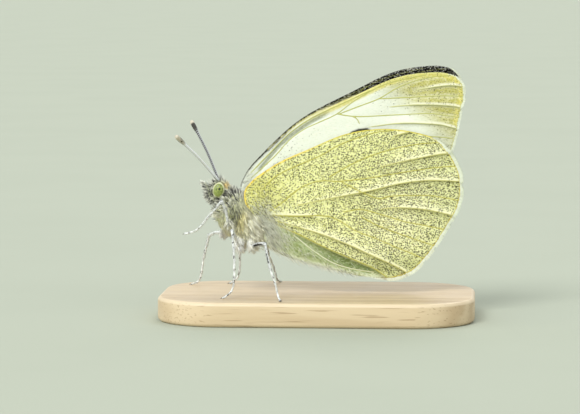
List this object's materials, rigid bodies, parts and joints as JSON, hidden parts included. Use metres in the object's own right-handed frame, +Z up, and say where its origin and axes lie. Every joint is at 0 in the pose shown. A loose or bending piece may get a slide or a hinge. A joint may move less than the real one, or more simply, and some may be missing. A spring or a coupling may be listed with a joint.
{
  "type": "large white butterfly model",
  "caption": "Life-size still model of a large white butterfly at rest, wings closed over its back and speckled yellow undersides showing, on a flat wooden base.",
  "frame": {"origin": "middle of the underside of the flat base", "axes": "head towards -X, the butterfly's left side towards -Y, +Z up"},
  "size_m": [0.039, 0.0244, 0.0312],
  "materials": {
    "base_wood": "fine-grained pale wood, satin",
    "body_fur": "soft grey-white, cream and black hairs",
    "eye": "green faceted compound eye with small dark spots",
    "wing_white": "white scales, pale yellow at the tip, black upper edge",
    "wing_yellow": "pale yellow scales densely speckled with dark grey",
    "leg_scales": "white scales with dark stripes and claws",
    "antenna": "dark, ringed with white scales",
    "antenna_club": "dark brown club with a pale tip"
  },
  "bodies": {
    "root": {"stand_base": "base_wood", "head": "body_fur", "thorax": "body_fur", "abdomen": "body_fur", "eye_left": "eye", "palp_left": "body_fur", "antenna_left": "antenna", "antenna_club_left": "antenna_club", "forewing_left": "wing_white", "hindwing_left": "wing_yellow", "eye_right": "eye", "palp_right": "body_fur", "antenna_right": "antenna", "antenna_club_right": "antenna_club", "forewing_right": "wing_white", "hindwing_right": "wing_yellow", "foreleg_left_coxa": "body_fur", "foreleg_left_femur": "leg_scales", "foreleg_left_tibia": "leg_scales", "foreleg_left_tarsus": "leg_scales", "foreleg_right_coxa": "body_fur", "foreleg_right_femur": "leg_scales", "foreleg_right_tibia": "leg_scales", "foreleg_right_tarsus": "leg_scales", "midleg_left_coxa": "body_fur", "midleg_left_femur": "leg_scales", "midleg_left_tibia": "leg_scales", "midleg_left_tarsus": "leg_scales", "midleg_right_coxa": "body_fur", "midleg_right_femur": "leg_scales", "midleg_right_tibia": "leg_scales", "midleg_right_tarsus": "leg_scales", "hindleg_left_coxa": "body_fur", "hindleg_left_femur": "leg_scales", "hindleg_left_tibia": "leg_scales", "hindleg_left_tarsus": "leg_scales", "hindleg_right_coxa": "body_fur", "hindleg_right_femur": "leg_scales", "hindleg_right_tibia": "leg_scales", "hindleg_right_tarsus": "leg_scales"}
  },
  "joints": []
}
